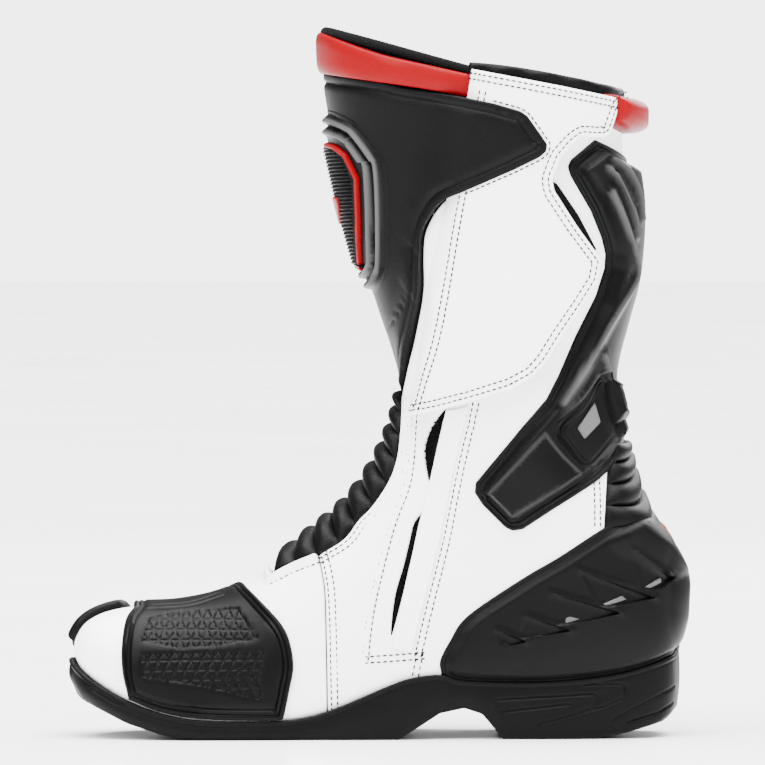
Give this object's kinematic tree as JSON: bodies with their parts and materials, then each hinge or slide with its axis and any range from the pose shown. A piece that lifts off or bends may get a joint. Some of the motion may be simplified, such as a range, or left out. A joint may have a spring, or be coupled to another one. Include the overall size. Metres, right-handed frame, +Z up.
{
  "type": "motorcycle riding boot",
  "caption": "Right-foot motorcycle riding boot: white and black leather, moulded armour, ribbed ankle gussets, zip closure under a hinged hook-and-loop flap.",
  "frame": {"origin": "on the ground, at the middle of the boot's bounding box", "axes": "+Z up the shaft; -X towards the toe; -Y towards the inner (zip) side"},
  "size_m": [0.3062, 0.1223, 0.3471],
  "materials": {
    "white_leather": "smooth, semi-gloss",
    "black_leather": "fine grain, satin",
    "red_leather": "smooth, padded",
    "black_tpu": "satin moulded",
    "sole_rubber": "matt",
    "pad_rubber": "satin, embossed",
    "insert_rubber": "satin, ribbed",
    "lining_fabric": "knitted",
    "footbed_fabric": "brushed",
    "hook_fabric": "hook and loop",
    "board": "fibre board",
    "silver_mesh": "fine mesh",
    "steel": "machined",
    "zip_metal": "satin",
    "zip_black": "woven",
    "red_plastic": "satin",
    "red_reflector": "prismatic"
  },
  "bodies": {
    "foot": {"outsole": "sole_rubber", "insole_board": "board", "footbed": "footbed_fabric", "foot_lining_toe": "lining_fabric", "foot_lining_middle": "lining_fabric", "foot_lining_heel_medial": "lining_fabric", "foot_lining_heel_lateral": "lining_fabric", "toe_cap": "white_leather", "vamp": "white_leather", "quarter_medial": "white_leather", "quarter_lateral": "white_leather", "shift_pad": "pad_rubber", "toe_slider": "black_tpu", "toe_slider_screw_1": "steel", "toe_slider_screw_2": "steel", "heel_cup": "black_tpu", "heel_vents": "silver_mesh", "heel_reflector": "red_reflector", "instep_bellows": "black_leather", "heel_bellows": "black_leather", "ankle_gusset_medial": "white_leather", "ankle_gusset_lateral": "white_leather", "zip_guard_strip": "white_leather", "zip_chain_lower": "zip_black"},
    "shaft": {"shaft_lining_low": "lining_fabric", "shaft_lining_top": "lining_fabric", "shin_panel": "black_leather", "shin_guard": "black_tpu", "shin_guard_frame": "red_plastic", "shin_guard_insert": "insert_rubber", "calf_medial_front": "white_leather", "calf_medial_rear": "white_leather", "calf_lateral": "white_leather", "collar_front": "red_leather", "collar_rear": "red_leather", "collar_gusset": "lining_fabric", "brace_spine": "black_tpu", "brace_arm_medial": "black_tpu", "brace_arm_lateral": "black_tpu", "brace_vents": "silver_mesh", "rear_guard": "black_tpu", "lateral_guard": "black_tpu", "zip_tape": "zip_black", "zip_chain": "zip_metal", "zip_stops": "zip_metal", "hook_strip": "hook_fabric", "flap_root": "white_leather"},
    "flap": {"closure_flap": "white_leather", "flap_wing": "black_leather", "loop_strip": "hook_fabric"},
    "slider": {"zip_slider": "zip_metal"},
    "puller": {"zip_puller": "black_leather"}
  },
  "joints": [
    {"name": "ankle_flex", "type": "hinge", "parent": "foot", "child": "shaft", "pos_m": [0.0897, 0.0015, 0.118], "axis": [0, -1, 0], "range_deg": [-8, 14], "stiffness_Nm_per_rad": 14, "deforming": ["instep_bellows", "heel_bellows", "ankle_gusset_medial", "ankle_gusset_lateral", "zip_guard_strip", "zip_chain_lower"]},
    {"name": "flap_open", "type": "hinge", "parent": "shaft", "child": "flap", "pos_m": [0.0364, -0.0522, 0.246], "axis": [-0.2122, 0.0877, -0.9733], "range_deg": [0, 110]},
    {"name": "zip_slide", "type": "slide", "parent": "shaft", "child": "slider", "axis": [-0.2117, 0.0613, -0.9754], "range_m": [0, 0.065]},
    {"name": "puller_swivel", "type": "hinge", "parent": "slider", "child": "puller", "pos_m": [0.05986, -0.05518, 0.29592], "axis": [-0.0379, -0.9978, -0.0545], "range_deg": [-20, 20]}
  ]
}
